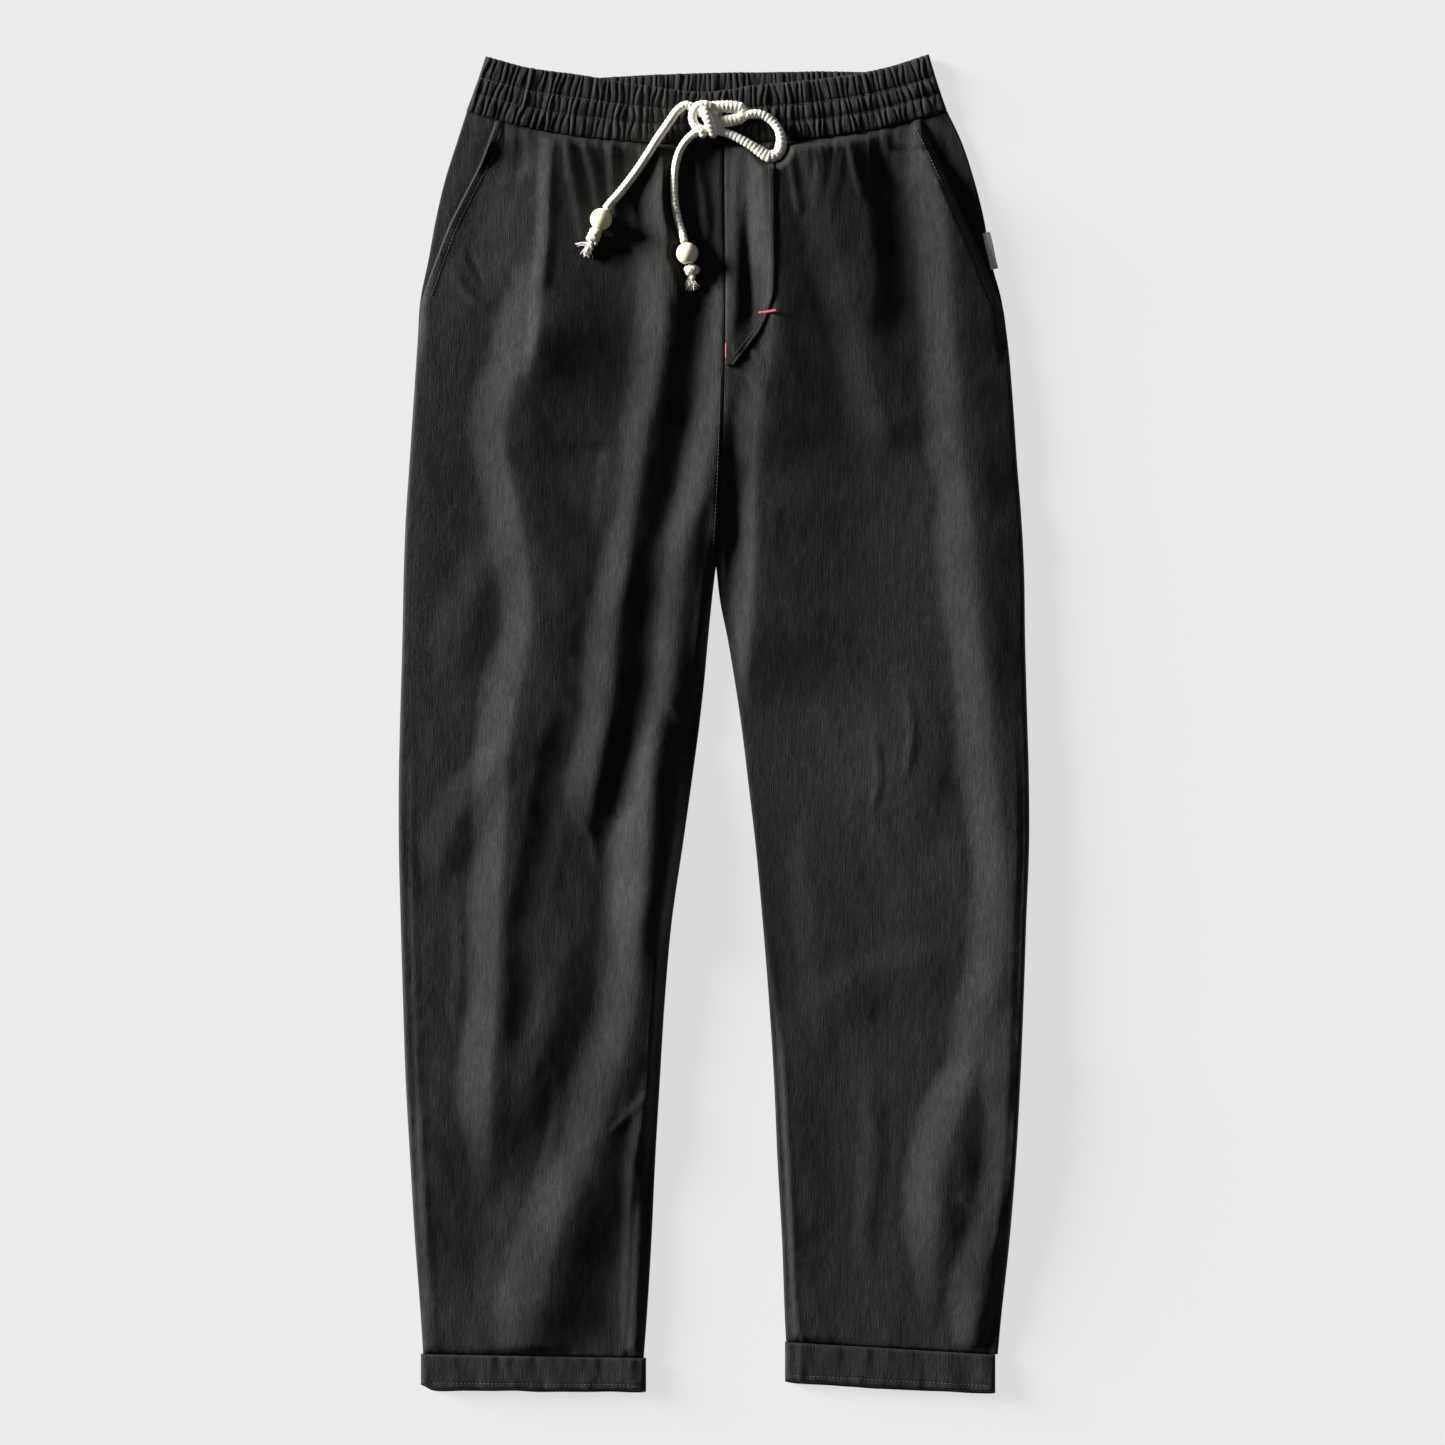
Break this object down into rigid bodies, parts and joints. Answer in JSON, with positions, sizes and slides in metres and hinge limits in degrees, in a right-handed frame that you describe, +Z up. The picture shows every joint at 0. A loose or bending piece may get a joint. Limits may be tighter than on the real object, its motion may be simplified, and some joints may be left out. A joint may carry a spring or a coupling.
{
  "type": "flat-laid drawstring summer trousers",
  "caption": "Charcoal linen-cotton summer trousers laid flat, with a shirred elastic waistband, a cream drawstring with wooden beads, slanted pockets, a mock fly and turned-up cuffs",
  "frame": {"origin": "centre of the garment's outline on the surface that it lies on", "axes": "+Z up from that surface, +Y towards the waist, -X at the viewer's left, which is the wearer's right leg"},
  "size_m": [0.4725, 1.0039, 0.0218],
  "materials": {
    "trouser_cloth": "charcoal linen and cotton with an upright slub and a soft nap",
    "waistband_cloth": "the same cloth, gathered on elastic in three channels",
    "cord_cotton": "cream cotton cord",
    "bead_wood": "pale cream wood, satin",
    "label_cloth": "plain white woven tape"
  },
  "bodies": {
    "root": {"front_left": "trouser_cloth", "front_right": "trouser_cloth", "back_left": "trouser_cloth", "back_right": "trouser_cloth", "pocket_facing_left": "trouser_cloth", "pocket_facing_right": "trouser_cloth", "fly_flap": "trouser_cloth", "cuff_left": "trouser_cloth", "cuff_right": "trouser_cloth", "waistband_front": "waistband_cloth", "waistband_back": "waistband_cloth", "side_label": "label_cloth", "cord_knot": "cord_cotton", "cord_loop_small": "cord_cotton", "cord_loop_large": "cord_cotton", "cord_tail_left": "cord_cotton", "cord_tail_right": "cord_cotton", "end_knot_left": "cord_cotton", "end_knot_right": "cord_cotton", "tuft_left": "cord_cotton", "tuft_right": "cord_cotton", "bead_left": "bead_wood", "bead_right": "bead_wood"}
  },
  "joints": []
}
